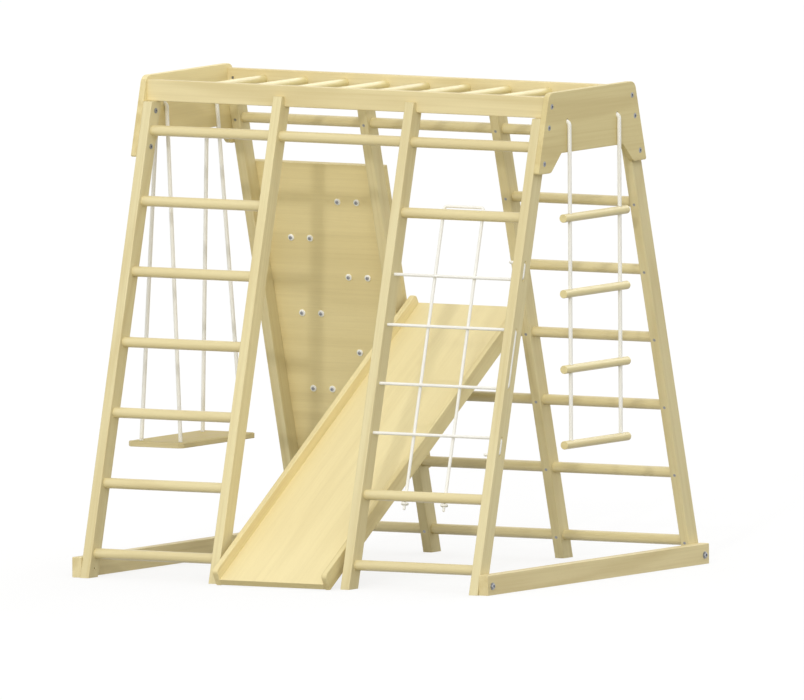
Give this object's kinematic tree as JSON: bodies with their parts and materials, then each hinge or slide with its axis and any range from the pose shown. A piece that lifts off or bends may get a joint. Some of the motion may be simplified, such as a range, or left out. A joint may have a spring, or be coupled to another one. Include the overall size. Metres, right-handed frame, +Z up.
{
  "type": "indoor climbing frame with slide",
  "caption": "Wooden A-shaped indoor climbing frame for toddlers with rungs, monkey bars, slide, swing, rope ladder, rope net and climbing panel.",
  "frame": {"origin": "bottom centre of the object's box, ropes left out", "axes": "+X to the right and +Y to the back as seen from the slide's side, +Z up"},
  "size_m": [1.2383, 1.1198, 1.208],
  "materials": {
    "frame_wood": "clear-lacquered pale pine",
    "dowel_wood": "clear-lacquered turned pine",
    "slide_wood": "clear-lacquered pale pine",
    "plywood": "clear-lacquered birch plywood",
    "rope": "white braided rope",
    "steel": "zinc-plated",
    "washer_plastic": "white gloss",
    "hold_plastic": "matte, fine grit"
  },
  "bodies": {
    "frame": {"barrel_nuts": "steel", "base_rail_left": "frame_wood", "base_rail_right": "frame_wood", "climbing_holds": "hold_plastic", "climbing_panel": "plywood", "end_board_left": "frame_wood", "end_board_right": "frame_wood", "frame_bolts": "steel", "hold_bolts": "steel", "hold_washers": "washer_plastic", "ladder_knots": "rope", "ladder_rope_tops": "rope", "leg_back_1": "frame_wood", "leg_back_2": "frame_wood", "leg_back_3": "frame_wood", "leg_back_4": "frame_wood", "leg_front_1": "frame_wood", "leg_front_2": "frame_wood", "leg_front_3": "frame_wood", "leg_front_4": "frame_wood", "monkey_bars": "dowel_wood", "net_knots": "rope", "net_rope_crossing": "rope", "net_rope_upright": "rope", "net_rung_lower": "dowel_wood", "net_rung_upper": "dowel_wood", "panel_screws": "steel", "rung_back_5": "dowel_wood", "rung_back_6": "dowel_wood", "rung_back_low": "dowel_wood", "rung_back_right_2": "dowel_wood", "rung_back_right_3": "dowel_wood", "rung_back_top": "dowel_wood", "rung_front_right_low": "dowel_wood", "rung_front_top": "dowel_wood", "rung_screws": "steel", "rungs_front_left": "dowel_wood", "sleeve_nuts": "steel", "slide_rest_rung": "dowel_wood", "swing_rope_back_loop": "rope", "swing_rope_front_loop": "rope", "top_rail_back": "frame_wood", "top_rail_front": "frame_wood"},
    "slide": {"slide_deck": "plywood", "slide_rail_left": "slide_wood", "slide_rail_right": "slide_wood", "slide_hook_left": "slide_wood", "slide_hook_right": "slide_wood"},
    "swing": {"swing_seat": "plywood", "swing_rope_front_strands": "rope", "swing_rope_back_strands": "rope", "swing_rope_stops": "washer_plastic"},
    "ladder_link_1": {"ladder_rung_1": "dowel_wood", "ladder_ropes_1": "rope"},
    "ladder_link_2": {"ladder_rung_2": "dowel_wood", "ladder_ropes_2": "rope"},
    "ladder_link_3": {"ladder_rung_3": "dowel_wood", "ladder_ropes_3": "rope"},
    "ladder_link_4": {"ladder_rung_4": "dowel_wood", "ladder_ropes_4": "rope"}
  },
  "joints": [
    {"name": "slide_lift", "type": "hinge", "parent": "frame", "child": "slide", "pos_m": [0.02307, 0.38052, 0.5665], "axis": [-1, 0, 0], "range_deg": [0, 20]},
    {"name": "swing_swing", "type": "hinge", "parent": "frame", "child": "swing", "pos_m": [-0.54942, 0.02193, 1.05], "axis": [0, 1, 0], "range_deg": [-25, 35]},
    {"name": "ladder_swing", "type": "hinge", "parent": "frame", "child": "ladder_link_1", "pos_m": [0.60868, 0.02193, 1.121], "axis": [0, -1, 0], "range_deg": [0, 45]},
    {"name": "ladder_fold_2", "type": "hinge", "parent": "ladder_link_1", "child": "ladder_link_2", "pos_m": [0.60868, 0.02193, 0.897], "axis": [0, -1, 0], "range_deg": [-20, 20]},
    {"name": "ladder_fold_3", "type": "hinge", "parent": "ladder_link_2", "child": "ladder_link_3", "pos_m": [0.60868, 0.02193, 0.7115], "axis": [0, -1, 0], "range_deg": [-20, 20]},
    {"name": "ladder_fold_4", "type": "hinge", "parent": "ladder_link_3", "child": "ladder_link_4", "pos_m": [0.60868, 0.02193, 0.526], "axis": [0, -1, 0], "range_deg": [-20, 20]}
  ]
}
